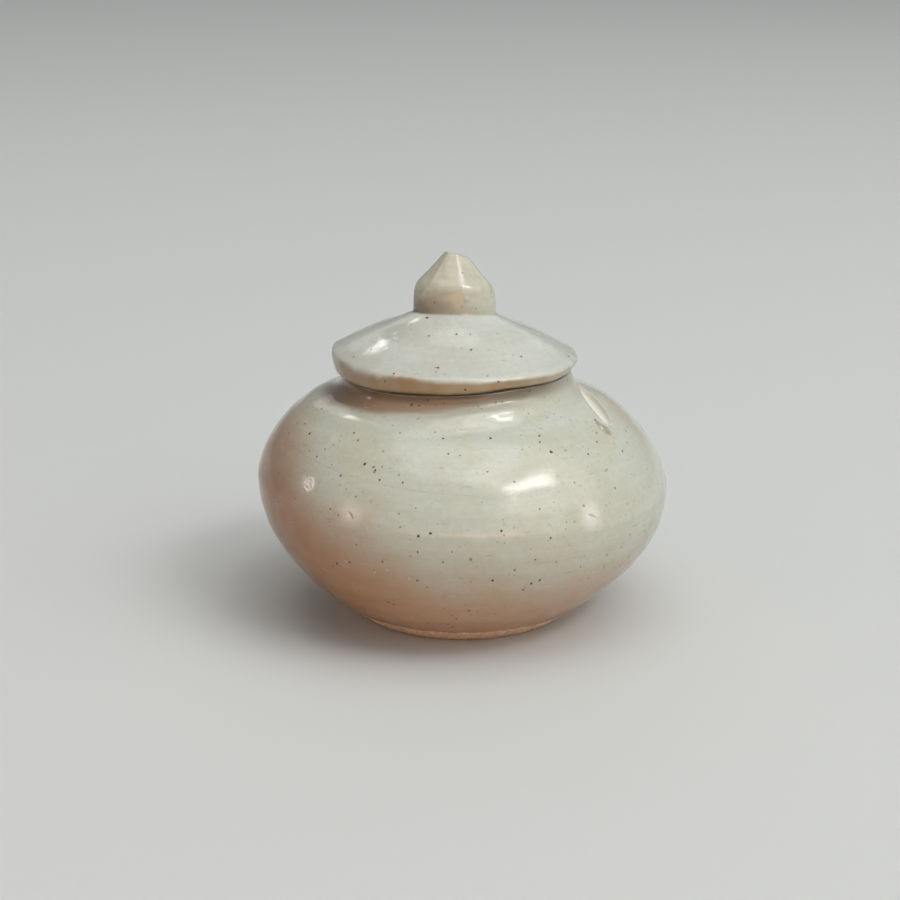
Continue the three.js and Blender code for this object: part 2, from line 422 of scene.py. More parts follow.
def turned(points, runs, sides, closed=False):
    """Turns an outline round the Z axis. Its vertices remember how far along the outline they lie."""
    bm = bmesh.new()
    layer = bm.verts.layers.float.new("run")
    row = []
    for place, run in zip(points, runs):
        vert = bm.verts.new((0, -place.x, place.y))
        vert[layer] = run
        row.append(vert)
    edges = [bm.edges.new(pair) for pair in zip(row, row[1:])]
    if closed:
        edges.append(bm.edges.new((row[-1], row[0])))
    around = {"cent": (0, 0, 0), "axis": (0, 0, 1), "dvec": (0, 0, 0), "use_merge": False}
    eighth = math.pi / 4
    bmesh.ops.spin(bm, geom=row + edges, angle=eighth, steps=sides // 8, use_duplicate=False, **around)
    bmesh.ops.spin(bm, geom=bm.verts[:] + bm.edges[:] + bm.faces[:], angle=7 * eighth, steps=7,
                   use_duplicate=True, **around)
    bmesh.ops.remove_doubles(bm, verts=bm.verts, dist=SAME_POINT)
    bmesh.ops.recalc_face_normals(bm, faces=bm.faces)
    bm.normal_update()
    return bm, layer


def azimuth_of(place):
    return math.degrees(math.atan2(place.x, -place.y))


def arc(azimuth, other):
    """Degrees from one azimuth to another, by the short way round."""
    return (azimuth - other + 180) % 360 - 180


def waves(place, height_and_width, seed):
    height, width = height_and_width
    return height * noise.noise(place / width + Vector((seed, 0, 0)))


class PressingTool:
    """Egg-shaped tool with its long axis from start to end, held `depth` below the line between them."""

    def __init__(self, start, end, radius, depth, extra_length, softness, outward=None, taper=0):
        along = end - start
        self.half_length = (along.length + extra_length) / 2
        self.radius = radius
        self.taper = taper
        self.reach = max(self.half_length, radius * (1 + taper))
        self.softness = softness
        self.along = along.normalized()
        self.outward = outward or Vector((-along.y, along.x, 0)).cross(along).normalized()
        if self.outward.z < 0:
            self.outward.negate()
        self.across = self.along.cross(self.outward)
        self.surface = start.lerp(end, 0.5)
        self.middle = self.surface + self.outward * (radius - depth)

    def press(self, place):
        """Where the tool leaves a point of the surface, and how deep it went there."""
        away = place - self.middle
        if away.length_squared > self.reach ** 2:
            return place, 0
        t = away.dot(self.along) / self.half_length
        radius = self.radius * (1 + self.taper * t)
        s = away.dot(self.across) / radius
        inside = 1 - t * t - s * s
        if inside <= 0:
            return place, 0
        here = away.dot(self.outward)
        pressed = -radius * math.sqrt(inside)
        blend = clamp(0.5 + (here - pressed) / (2 * self.softness))
        sunk = here + (pressed - here) * blend - self.softness * blend * (1 - blend)
        return place + self.outward * (sunk - here), here - sunk


def centred(lumps, radius_of):
    """Each lump's centre on the side, its width and how far it stands out."""
    return [(on_side(radius_of(height), azimuth, height), width, rise)
            for azimuth, height, width, rise in lumps]


def raised(place, lumps):
    """How far lumps raise the surface at a place."""
    return sum(rise * bell((place - centre).length, width) for centre, width, rise in lumps)


def facing(azimuth, middle, breadth):
    """1 in the middle of a side, fading to nothing at its ends."""
    return bell(arc(azimuth, middle), breadth)


def seam_drop(azimuth):
    """How far the lid's edge and the rim sag below level at an azimuth."""
    return sum(drop * facing(azimuth, middle, breadth) for middle, breadth, drop in SEAM_WAVES)


def subdivided(bm, middle, reach, cuts):
    """Makes the mesh finer round a small mark."""
    near = [e for e in bm.edges if all((v.co - middle).length < reach for v in e.verts)]
    bmesh.ops.subdivide_edges(bm, edges=near, cuts=cuts, use_grid_fill=True)


def settled(place, offset):
    """Where a point ends up when the clay has tilted and leaned as it did in the kiln."""
    share = clamp(place.z / RIM_HEIGHT)
    sag = BELLY_TILT * 4 * share * (1 - share) * smooth(share, 0, TILT_IS_FULL)
    tilt = sag + RIM_TILT * smooth(share, RIM_TILT_STARTS, 1)
    lid_share = clamp((place.z - LID_SEAT) / LID_EDGE_HEIGHT)
    knob_rise = math.tan(math.radians(KNOB_TILT)) * smooth(place.z, KNOB_SEAT - KNOB_TILT_BLEND, KNOB_SEAT)
    slope = math.tan(math.radians(tilt)) + lid_share * math.tan(math.radians(LID_TOP_TILT))
    drop = place.x * slope + place.y * knob_rise
    lean = NECK_LEAN * smooth(share, NECK_LEAN_STARTS, 1)
    return Vector((place.x + lean + offset, place.y, place.z - drop))


def mask_layers(bm):
    """Layers for where the clay is bare and where its glaze is thick, thin or pooled, which also carry
    painted highlights, painted warm reflections and painted shade.
    """
    return {name: bm.verts.layers.float.new(name) for name in ("bare", "thick_and_highlight", "thin", "pool_and_shade")}


def finished(bm, name, offset, finish, body, node):
    """Settles a piece, makes it an object in metres, and gives it its finish and its place in the frame."""
    for vert in bm.verts:
        vert.co = settled(vert.co, offset) * MM
    for face in bm.faces:
        face.smooth = True
    mesh = bpy.data.meshes.new(name)
    bm.to_mesh(mesh)
    bm.free()
    mesh.materials.append(finish)
    piece = bpy.data.objects.new(name, mesh)
    bpy.context.scene.collection.objects.link(piece)
    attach(piece, body)
    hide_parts(node)
    return piece


# Materials

def add(tree, kind, inputs=(), **settings):
    """Adds a shader node. An input is a value, a socket, or a node, whose first output it takes."""
    made = tree.nodes.new("ShaderNode" + kind)
    for setting, value in settings.items():
        setattr(made, setting, value)
    for name, value in dict(inputs).items():
        if isinstance(name, str):
            socket = next(s for s in made.inputs if s.enabled and s.name == name)
        else:
            socket = made.inputs[name]
        if isinstance(value, bpy.types.Node):
            value = next(s for s in value.outputs if s.enabled)
        if isinstance(value, bpy.types.NodeSocket):
            tree.links.new(value, socket)
        else:
            socket.default_value = value
    return made


def new_material(name):
    material = bpy.data.materials.new(name)
    material.use_nodes = True
    material.node_tree.nodes.clear()
    return material, material.node_tree


def in_mm(tree):
    """Places on the piece, in mm."""
    place = add(tree, "TexCoord").outputs["Object"]
    return add(tree, "VectorMath", {0: place, "Scale": 1 / MM}, operation="SCALE")


def scattered(tree, place, spacing, largest, share, seed):
    """A mask of ragged specks up to `largest` wide, in a share of the cells one spacing wide, in mm."""
    moved = add(tree, "VectorMath", {0: place, 1: (seed, 0, 0)}, operation="ADD")
    cells = add(tree, "TexVoronoi", {"Vector": moved, "Scale": 1 / spacing, "Randomness": 1})
    luck = add(tree, "SeparateColor", {"Color": cells.outputs["Color"]})
    size = add(tree, "MapRange", {"Value": luck, "From Min": 1 - share, "To Min": 0,
                                  "To Max": largest / 2 / spacing})
    inside = add(tree, "Math", {0: size, 1: cells.outputs["Distance"]}, operation="SUBTRACT")
    mask = add(tree, "MapRange", {"Value": inside, "From Min": 0, "From Max": SPECK_BLUR / spacing},
               interpolation_type="SMOOTHSTEP")
    strength = add(tree, "MapRange", {"Value": luck.outputs["Green"], "To Min": 0.35, "To Max": 1})
    return add(tree, "Math", {0: mask, 1: strength}, operation="MULTIPLY")


def placed(tree, place, specks, radius_of, offset):
    """A mask of specks at chosen places, each an azimuth, a height and a width."""
    nearest = 1.0
    for azimuth, height, width in specks:
        centre = settled(on_side(radius_of(height), azimuth, height), offset)
        away = add(tree, "VectorMath", {0: place, 1: centre}, operation="DISTANCE").outputs["Value"]
        nearest = add(tree, "Math", {0: add(tree, "Math", {0: away, 1: width}, operation="DIVIDE"),
                                     1: nearest}, operation="MINIMUM")
    return add(tree, "MapRange", {"Value": nearest, "From Min": 0.5, "From Max": 0.3},
               interpolation_type="SMOOTHSTEP")


def scratched(tree, place):
    """A mask of the thin line scratched round the front of the belly."""
    parts = add(tree, "SeparateXYZ", {"Vector": place})
    x, y, z = (parts.outputs[axis] for axis in "XYZ")
    bow = add(tree, "Math", {0: x, 1: SCRATCH_BOW, 2: SCRATCH_SLOPE}, operation="MULTIPLY_ADD")
    rise = add(tree, "Math", {0: bow, 1: x, 2: SCRATCH_HEIGHT}, operation="MULTIPLY_ADD")
    near = add(tree, "Math", {0: z, 1: rise, 2: SCRATCH_WIDTH}, operation="COMPARE")
    left, right = SCRATCH_ENDS
    middle, half = (left + right) / 2, (right - left) / 2
    between_ends = add(tree, "Math", {0: x, 1: middle, 2: half}, operation="COMPARE")
    in_front = add(tree, "Math", {0: y, 1: 0}, operation="LESS_THAN")
    mask = add(tree, "Math", {0: near, 1: between_ends}, operation="MULTIPLY")
    return add(tree, "Math", {0: mask, 1: in_front}, operation="MULTIPLY")


def fired_glaze(name, pale, warm, thin, specks, radius_of, offset, peppered, scratch=False):
    """Glossy fired glaze over tan stoneware: pale where it lies thick or a highlight is painted, tan where
    thin or warm reflection is painted, brown where pooled or shade is painted.
    """
    material, tree = new_material(name)
    place = in_mm(tree)

    # Clouds of warmer glaze, 11 mm across
    clouds = add(tree, "TexNoise", {"Vector": place, "Scale": 1 / 11, "Detail": 3, "Roughness": 0.6})
    cloud = add(tree, "MapRange", {"Value": clouds, "From Min": 0.38, "From Max": 0.62, "To Max": 0.6},
                interpolation_type="SMOOTHSTEP")
    colours = add(tree, "Mix", {"Factor": cloud, "A": colour(pale), "B": colour(warm)}, data_type="RGBA")

    # Marks of the potter's fingers, level streaks about 0.7 mm high and 20 mm long
    stretched = add(tree, "VectorMath", {0: place, 1: (0.05, 0.05, 1.4)}, operation="MULTIPLY")
    streaks = add(tree, "TexNoise", {"Vector": stretched, "Scale": 1, "Detail": 5, "Roughness": 0.7})
    streak = add(tree, "MapRange", {"Value": streaks, "From Min": 0.3, "From Max": 0.7,
                                    "To Min": 0.955, "To Max": 1.025})
    colours = add(tree, "VectorMath", {0: colours, "Scale": streak}, operation="SCALE")

    # Mottling of the glaze, 0.9 mm, with a finer grain in it
    mottle = add(tree, "TexNoise", {"Vector": place, "Scale": 1 / 0.9, "Detail": 4, "Roughness": 0.65})
    mottling = add(tree, "MapRange", {"Value": mottle, "From Min": 0.25, "From Max": 0.75,
                                      "To Min": 0.93, "To Max": 1.06})
    colours = add(tree, "VectorMath", {0: colours, "Scale": mottling}, operation="SCALE")

    # Thick glaze is paler, thin glaze lets the tan clay through, and pooled glaze is deep and brown; the same
    # tints also carry painted highlights, painted warm reflections and painted shade
    for attribute, tint in (("thick_and_highlight", "#e0e1d8"), ("thin", thin), ("pool_and_shade", "#4c3a26")):
        amount = add(tree, "Attribute", attribute_name=attribute).outputs["Fac"]
        colours = add(tree, "Mix", {"Factor": amount, "A": colours, "B": colour(tint)}, data_type="RGBA")

    # Short level dashes where grit was dragged along, 0.2 mm high and 2 to 3 mm long, dark or pale
    dragged = add(tree, "VectorMath", {0: place, 1: (0.4, 0.4, 4)}, operation="MULTIPLY")
    dashes = add(tree, "TexNoise", {"Vector": dragged, "Scale": 1, "Detail": 1, "Roughness": 0.4})
    dark_dash = add(tree, "MapRange", {"Value": dashes, "From Min": 0.73, "From Max": 0.8,
                                       "To Max": 0.4 * peppered}, interpolation_type="SMOOTHSTEP")
    pale_dash = add(tree, "MapRange", {"Value": dashes, "From Min": 0.27, "From Max": 0.2,
                                       "To Max": 0.25 * peppered}, interpolation_type="SMOOTHSTEP")
    if scratch:
        broken = add(tree, "MapRange", {"Value": mottle, "From Min": 0.46, "From Max": 0.6, "To Max": 0.28})
        line = add(tree, "Math", {0: scratched(tree, place), 1: broken}, operation="MULTIPLY")
        dark_dash = add(tree, "Math", {0: line, 1: dark_dash}, operation="MAXIMUM")
    for amount, tint in ((dark_dash, "#6e6654"), (pale_dash, "#dcdacd")):
        colours = add(tree, "Mix", {"Factor": amount, "A": colours, "B": colour(tint)}, data_type="RGBA")

    # Iron that bled into the glaze in soft brown smudges of 1 mm
    bled = add(tree, "TexNoise", {"Vector": place, "Scale": 1 / 1.6, "Detail": 3, "Roughness": 0.7})
    smudge = add(tree, "MapRange", {"Value": bled, "From Min": 0.62, "From Max": 0.78, "To Max": 0.4},
                 interpolation_type="SMOOTHSTEP")
    colours = add(tree, "Mix", {"Factor": smudge, "A": colours, "B": colour("#7d6f58")}, data_type="RGBA")

    # Iron specks with ragged edges: dust up to about 0.3 mm and grains up to about 0.5 mm
    shaking = add(tree, "TexNoise", {"Vector": place, "Scale": 1 / 0.28, "Detail": 2})
    shift = add(tree, "VectorMath", {0: shaking.outputs["Color"], 1: (0.5, 0.5, 0.5)}, operation="SUBTRACT")
    shaken = add(tree, "VectorMath", {0: shift, 1: (0.35, 0.35, 0.35), 2: place}, operation="MULTIPLY_ADD")
    dust = scattered(tree, shaken, 0.75, 0.36, 0.5 * peppered, 40)
    grains = scattered(tree, shaken, 1.2, 0.54, 0.7 * peppered, 0)
    large = placed(tree, shaken, specks, radius_of, offset)
    iron = add(tree, "Math", {0: dust, 1: 0.7}, operation="MULTIPLY")
    iron = add(tree, "Math", {0: iron, 1: grains}, operation="MAXIMUM")
    iron = add(tree, "Math", {0: iron, 1: large}, operation="MAXIMUM")
    iron = add(tree, "Math", {0: iron, 1: 0.93}, operation="MULTIPLY")
    colours = add(tree, "Mix", {"Factor": iron, "A": colours, "B": colour("#2f2a20")}, data_type="RGBA")

    # Bubbles that burst and healed leave pale dots up to about 0.4 mm
    bubbles = scattered(tree, place, 1.6, 0.45, 0.5, 60)
    bubble = add(tree, "Math", {0: bubbles, 1: 0.4}, operation="MULTIPLY")
    colours = add(tree, "Mix", {"Factor": bubble, "A": colours, "B": colour("#e8e6da")}, data_type="RGBA")

    # Bare clay, with a ragged edge to the glaze
    ragged = add(tree, "TexNoise", {"Vector": place, "Scale": 1 / 1.5, "Detail": 4, "Roughness": 0.6})
    edge = add(tree, "Attribute", attribute_name="bare").outputs["Fac"]
    edge = add(tree, "Math", {0: ragged, 1: 0.35, 2: edge}, operation="MULTIPLY_ADD")
    bare = add(tree, "MapRange", {"Value": edge, "From Min": 0.64, "From Max": 0.70},
               interpolation_type="SMOOTHSTEP")
    clay = clay_colour(tree, place)
    colours = add(tree, "Mix", {"Factor": bare, "A": colours, "B": clay}, data_type="RGBA")

    # Gloss that varies from patch to patch
    gloss = add(tree, "TexNoise", {"Vector": place, "Scale": 1 / 6, "Detail": 2})
    roughness = add(tree, "MapRange", {"Value": gloss, "From Min": 0.35, "From Max": 0.65,
                                       "To Min": 0.06, "To Max": 0.14})
    roughness = add(tree, "Mix", {"Factor": bare, "A": roughness, "B": 0.85}, data_type="FLOAT")

    # Relief in mm: orange peel, pores that break up the highlights, finger streaks, specks that stand
    # out, burst bubbles, and grit where the clay is bare
    pores = add(tree, "TexNoise", {"Vector": place, "Scale": 1 / 0.35, "Detail": 2, "Roughness": 0.6})
    grit = add(tree, "TexNoise", {"Vector": place, "Scale": 1 / 0.4, "Detail": 3, "Roughness": 0.7})
    grit = add(tree, "Math", {0: grit, 1: bare}, operation="MULTIPLY")
    relief = add(tree, "Math", {0: mottle, 1: 0.02}, operation="MULTIPLY")
    for pattern, height in ((pores, 0.014), (streaks, 0.012), (bubbles, 0.03), (grains, 0.03), (grit, 0.12)):
        relief = add(tree, "Math", {0: pattern, 1: height, 2: relief}, operation="MULTIPLY_ADD")
    bump = add(tree, "Bump", {"Height": relief, "Distance": MM, "Strength": 1})

    surface = add(tree, "BsdfPrincipled", {"Base Color": colours, "Roughness": roughness, "Normal": bump,
                                           "IOR": 1.5})
    add(tree, "OutputMaterial", {"Surface": surface})
    return material


def clay_colour(tree, place):
    """Colours of unglazed fired stoneware: pinkish tan with pale and dark grit."""
    grains = add(tree, "TexNoise", {"Vector": place, "Scale": 1 / 0.7, "Detail": 4, "Roughness": 0.7})
    share = add(tree, "MapRange", {"Value": grains, "From Min": 0.35, "From Max": 0.65})
    return add(tree, "Mix", {"Factor": share, "A": colour("#cda283"), "B": colour("#f2dcc2")},
               data_type="RGBA")


def bare_stoneware():
    """Unglazed fired stoneware, turned and wiped: matt, with grit that stands out."""
    material, tree = new_material("bare_fired_stoneware")
    place = in_mm(tree)
    grit = add(tree, "TexNoise", {"Vector": place, "Scale": 1 / 0.4, "Detail": 4, "Roughness": 0.7})
    bump = add(tree, "Bump", {"Height": grit, "Distance": 0.12 * MM, "Strength": 1})
    surface = add(tree, "BsdfPrincipled", {"Base Color": clay_colour(tree, place), "Roughness": 0.85,
                                           "Normal": bump, "IOR": 1.5})
    add(tree, "OutputMaterial", {"Surface": surface})
    return material


# Pieces

def nick_tool(azimuth, height, length, slant):
    """Tool for one nick in the jar's side."""
    middle = on_side(radius_at(height), azimuth, height)
    turn, down = math.radians(azimuth), math.radians(slant)
    half = Vector((math.cos(turn) * math.cos(down), math.sin(turn) * math.cos(down), -math.sin(down)))
    half *= length / 2
    outward = Vector((middle.x, middle.y, 0)).normalized()
    return PressingTool(middle - half, middle + half, NICK_WIDTH / 2, NICK_DEPTH, 0, PIT_SOFTNESS, outward)


def pool_edge_at(place, azimuth):
    """Height of the lower edge of the brown glaze that pooled under the lid."""
    slant = POOL_SLANT * math.sin(math.radians(azimuth))
    return POOL_MIDDLE + slant + waves(place, POOL_EDGE_WAVES, 51)


def side_relief(place, azimuth, pool_edge, lumps):
    """How far the jar's side stands out at a place: wobble, throwing rings, lumps and the filled hollow."""
    ring_height, ring_spacing = THROWING_RING
    turns = place.z / ring_spacing + azimuth / 360 + noise.noise(place / 20)
    fullness = FILLET_LEAST + (1 - FILLET_LEAST) * facing(azimuth, *FILLET_SIDE)
    fillet = FILLET_RISE * fullness * bell((place.z - pool_edge + FILLET_BELOW) / FILLET_SLOPE, FILLET_WIDTH)
    rings = ring_height * math.sin(2 * math.pi * turns)
    return waves(place, WOBBLE, 0) + waves(place, GLAZE_RIPPLE, 7) + rings + raised(place, lumps) + fillet


def tan_and_painted_warmth(place, azimuth):
    """How tan and how dark the side is at a place: thin glaze near the foot, with painted warm reflection and
    shade.
    """
    painted_warmth_share = facing(azimuth, *PAINTED_WARMTH_SIDE)
    tan_top = TAN_HEIGHT + TAN_CLIMB * painted_warmth_share + waves(place, TAN_EDGE_WAVES, 47)
    tan = TAN_STRENGTH + (1 - TAN_STRENGTH) * painted_warmth_share + waves(place, TAN_PATCHES, 73)
    tan *= 1 - smooth(place.z, tan_top - TAN_BLUR, tan_top + TAN_BLUR)
    lower_left_shade_breadth = LOWER_LEFT_SHADE_BREADTH + LOWER_LEFT_SHADE_BROADENS * smooth(place.z, *LOWER_LEFT_SHADE_HEIGHTS)
    lower_left_shade = LOWER_LEFT_SHADE_STRENGTH * facing(azimuth, PAINTED_WARMTH_SIDE[0], lower_left_shade_breadth) * tan
    left_warm_reflection = LEFT_WARM_REFLECTION_STRENGTH * facing(azimuth, *LEFT_WARM_REFLECTION_SIDE)
    left_warm_reflection *= 1 - smooth(place.z, *LEFT_WARM_REFLECTION_FADES)
    right_warm_reflection = RIGHT_WARM_REFLECTION_STRENGTH * facing(azimuth, *RIGHT_WARM_REFLECTION_SIDE)
    return max(clamp(tan), left_warm_reflection, right_warm_reflection), lower_left_shade


def pool_marks(place, azimuth, run, starts, pool_edge):
    """How thin and how deep brown the glaze under the lid is at a place, with painted shade under the lid and
    in the seam at the rim.
    """
    fades_from = pool_edge - POOL_BLUR - POOL_PAINTED_WARMTH_BLUR * facing(azimuth, *PAINTED_WARMTH_SIDE)
    above_belly = run > starts["side"] + BELLY_RUN
    under_lid = smooth(place.z, fades_from, pool_edge + POOL_BLUR) if above_belly else 0
    right = facing(azimuth, *POOL_RIGHT_SIDE)
    pool_and_shade = POOL_STRENGTH + POOL_LEFT_GAIN * facing(azimuth, *POOL_LEFT_SIDE) - POOL_RIGHT_LOSS * right
    near_rim = smooth(run, starts["rim"] - 2.2, starts["rim"] - 0.2)
    rim_seam_shade = (RIM_SEAM_SHADE_STRENGTH - RIM_SEAM_SHADE_RIGHT_LOSS * right) * near_rim
    thin = POOL_THINNESS + POOL_THIN_GAIN * facing(azimuth, *POOL_THIN_SIDE)
    return under_lid * thin, max(under_lid * pool_and_shade, rim_seam_shade)


def glazed_jar(finish):
    lower, upper, neck = LOWER_SIDE, UPPER_SIDE, NECK_SIDE
    outside = lower + upper[1:] + neck[1:]
    inside = [p for p in inset(outside, WALL) if p.y > FLOOR_THICKNESS][::-1]
    lip, floor_edge = inside[0], inside[-1]
    ring_inside = FOOT_RADIUS - FOOT_ROUND - FOOT_RING_WIDTH
    recess_edge = point(ring_inside - FOOT_RECESS_SLOPE, FOOT_RECESS)
    foot, rim = lower[0], neck[-1]
    coarse = round(HIDDEN_SPACING / OUTSIDE_SPACING)
    inner_corner = corner(inside[-2], point(floor_edge.x, FLOOR_THICKNESS), point(0, FLOOR_THICKNESS),
                          WALL, HIDDEN_SPACING / 2)
    foot_corner = corner(point(0, 0), foot, lower[3], FOOT_ROUND)
    rim_corner = corner(neck[-2], rim, lip, RIM_ROUND)
    lip_corner = corner(rim, lip, inside[2], RIM_ROUND)
    points, runs, starts = joined({
        "recess": line(point(0, FOOT_RECESS), recess_edge, HIDDEN_SPACING),
        "standing": line(recess_edge, point(ring_inside, 0), CORNER_SPACING * 2),
        "foot": line(point(ring_inside, 0), foot_corner[0], OUTSIDE_SPACING) + foot_corner,
        "side": lower[3:] + upper[1:],
        "neck": neck[1:-2],
        "rim": rim_corner + lip_corner,
        "inside": inside[3:-1:coarse] + inner_corner,
        "floor": line(inner_corner[-1], point(0, FLOOR_THICKNESS), HIDDEN_SPACING),
    })
    bm, run_layer = turned(points, runs, JAR_SIDES)
    masks = mask_layers(bm)

    groove = PressingTool(on_shoulder(NECK_RADIUS + GROOVE_START, GROOVE_AZIMUTHS[0]),
                          on_shoulder(SHOULDER_RADIUS + GROOVE_END, GROOVE_AZIMUTHS[1]),
                          GROOVE_RADIUS, GROOVE_DEPTH, GROOVE_RADIUS, GROOVE_SOFTNESS, taper=GROOVE_TAPER)
    pit_radius = SHOULDER_RADIUS + PIT_OFFSET
    pit = PressingTool(on_shoulder(pit_radius - PIT_LENGTH / 2, PIT_AZIMUTH),
                       on_shoulder(pit_radius + PIT_LENGTH / 2, PIT_AZIMUTH),
                       PIT_WIDTH / 2, PIT_DEPTH, 0, PIT_SOFTNESS)
    bead = on_shoulder(pit_radius, PIT_AZIMUTH) - pit.outward * PIT_DEPTH
    nicks = [nick_tool(*nick) for nick in NICKS]
    for nick in nicks:
        subdivided(bm, nick.surface, 1.5, 2)
    subdivided(bm, groove.surface, 8, 1)
    bm.normal_update()

    glaze_line = starts["side"] + GLAZE_LINE
    rim_middle = (starts["rim"] + starts["inside"]) / 2
    lumps = centred(LUMPS, radius_at)
    for vert in bm.verts:
        place, run = vert.co.copy(), vert[run_layer]
        azimuth = azimuth_of(place)
        bare = clamp(1.1 - abs(run - rim_middle) / 1.6)
        if starts["foot"] < run < starts["rim"]:
            pool_edge = pool_edge_at(place, azimuth)
            move = side_relief(place, azimuth, pool_edge, lumps)
            move *= smooth(run, starts["foot"], starts["side"] + 2)
            move *= 1 - smooth(run, starts["neck"] + 3, starts["rim"])
            vert.co = place + vert.normal * move
            vert.co, groove_sunk = groove.press(vert.co)
            vert.co, pit_sunk = pit.press(vert.co)
            if pit_sunk > 0:
                vert.co += pit.outward * BEAD_HEIGHT * bell((vert.co - bead).length, BEAD_WIDTH)
            halo = 0
            for nick in nicks:
                vert.co, _ = nick.press(vert.co)
                halo = max(halo, bell((place - nick.surface).length, NICK_HALO))
            from_bead = (vert.co - bead).length
            # Pale glaze in the groove, which also paints the highlight on its far wall, and a painted
            # highlight on the bead in the pit
            groove_glaze_and_highlight = 0.8 * smooth(groove_sunk, 0.15, 0.75)
            vert[masks["thick_and_highlight"]] = max(groove_glaze_and_highlight, 0.7 * halo, smooth(from_bead, 0.5, 0.3))

            # Tan below with painted warm reflection and painted shade on the left; brown under the lid with
            # painted shade, and painted shade in the seam at the rim
            tan, lower_left_shade = tan_and_painted_warmth(place, azimuth)
            thin, pool_and_shade = pool_marks(place, azimuth, run, starts, pool_edge)
            pit_dark = 0.4 * smooth(pit_sunk, 0.05, 0.4) * smooth(from_bead, 0.3, 0.5)
            bare = max(bare, clamp(0.5 + (glaze_line - run) / 4))
            vert[masks["thin"]] = max(tan, thin)
            vert[masks["pool_and_shade"]] = max(pool_and_shade, pit_dark, lower_left_shade)
        vert[masks["bare"]] = bare
        if run < glaze_line + 2:
            grit = waves(place, GRIT, 3) + waves(place, FINE_GRIT, 5)
            grit *= smooth(glaze_line - run, -0.5, 1) * smooth(run, starts["standing"], starts["side"])
            vert.co += vert.normal * grit
        vert.co.z -= seam_drop(azimuth) * smooth(place.z, RIM_HEIGHT - 3, RIM_HEIGHT)
        vert.co.z = max(vert.co.z, 0)
    return finished(bm, "glazed_jar", 0, finish, "pot", "pot_body")


def glazed_lid(finish):
    lower_radius = NECK_RADIUS + LID_OVERHANG
    upper_radius = lower_radius + LID_EDGE_FLARE
    under_edge = point(lower_radius, LID_SEAT)
    over_edge = point(upper_radius, LID_EDGE_TOP)
    seat_edge = point(KNOB_RADIUS, KNOB_SEAT)
    bulge = (over_edge + seat_edge) / 2 + point(0, 2 * LID_CROWN)
    slope = curve(over_edge, over_edge.lerp(bulge, 2 / 3), seat_edge.lerp(bulge, 2 / 3), seat_edge,
                  OUTSIDE_SPACING)
    under_corner = corner(point(0, LID_SEAT), under_edge, over_edge, LID_EDGE_ROUND)
    over_corner = corner(under_edge, over_edge, slope[3], LID_EDGE_ROUND)
    points, runs, starts = joined({
        "under": line(point(0, LID_SEAT), under_corner[0], HIDDEN_SPACING),
        "edge": under_corner + line(under_corner[-1], over_corner[0], CORNER_SPACING) + over_corner,
        "slope": slope[2:],
        "seat": line(seat_edge, point(0, KNOB_SEAT), HIDDEN_SPACING),
    })
    bm, run_layer = turned(points, runs, LID_SIDES)
    masks = mask_layers(bm)
    band_top = starts["slope"] - BAND_DROP
    edge_middle = (starts["edge"] + starts["slope"]) / 2
    edge_length = starts["slope"] - starts["edge"]
    lumps = centred(LID_LUMPS, lid_radius_at)
    for vert in bm.verts:
        place, run = vert.co.copy(), vert[run_layer]
        azimuth = azimuth_of(place)
        outer = smooth(run, starts["edge"] - 1, starts["edge"] + 0.5)
        move = waves(place, WOBBLE, 11) + waves(place, GLAZE_RIPPLE, 13)
        edge_share = bell(run - edge_middle, 3 * edge_length)
        around = Vector((place.x, place.y, 0))
        move += edge_share * (waves(around, LID_EDGE_WAVES, 17) + waves(around, LID_EDGE_GRIT, 19))
        move += raised(place, lumps)
        vert.co = place + vert.normal * move * outer * (1 - smooth(run, starts["seat"] - 1, starts["seat"]))
        vert.co.z = max(vert.co.z, LID_SEAT)
        sagging = smooth(place.xy.length, 11, 16) * (1 - smooth(place.z, LID_SEAT, LID_EDGE_TOP + 1.5))
        vert.co.z -= seam_drop(azimuth) * sagging

        vert[masks["bare"]] = clamp(0.5 + (starts["edge"] - 0.6 - run) / 4)
        ragged_top = band_top + waves(around, BAND_WAVES, 41) + waves(around, BAND_GRIT, 43)
        band = 1 - smooth(run, ragged_top - 0.35, ragged_top + 0.4)
        shaded_side = facing(azimuth, *BAND_SHADED_SIDE)
        mottled = 0.9 + waves(place, BAND_MOTTLING, 61)
        vert[masks["thin"]] = clamp(band * mottled * (1 - 0.55 * facing(azimuth, *BAND_FAINT_SIDE)))
        # Painted shade: darker at the seam under the edge, on the shaded side of the band, and in the crevice
        # round the knob, where glaze also pooled
        lid_seam_shade = 1 - smooth(run, starts["edge"] + 0.4, starts["edge"] + 1.2)
        crevice = smooth(run, starts["seat"] - 0.6, starts["seat"])
        vert[masks["pool_and_shade"]] = max(0.6 * lid_seam_shade, 0.3 * shaded_side * band, (0.15 + 0.7 * shaded_side) * crevice)
        # Painted highlight: a pale line along the top of the band on the right
        vert[masks["thick_and_highlight"]] = 0.2 * bell(run - ragged_top - 0.7, 1.4) * facing(azimuth, 40, 120)
    return finished(bm, "glazed_lid", LID_OFFSET, finish, "lid", "lid_plate")


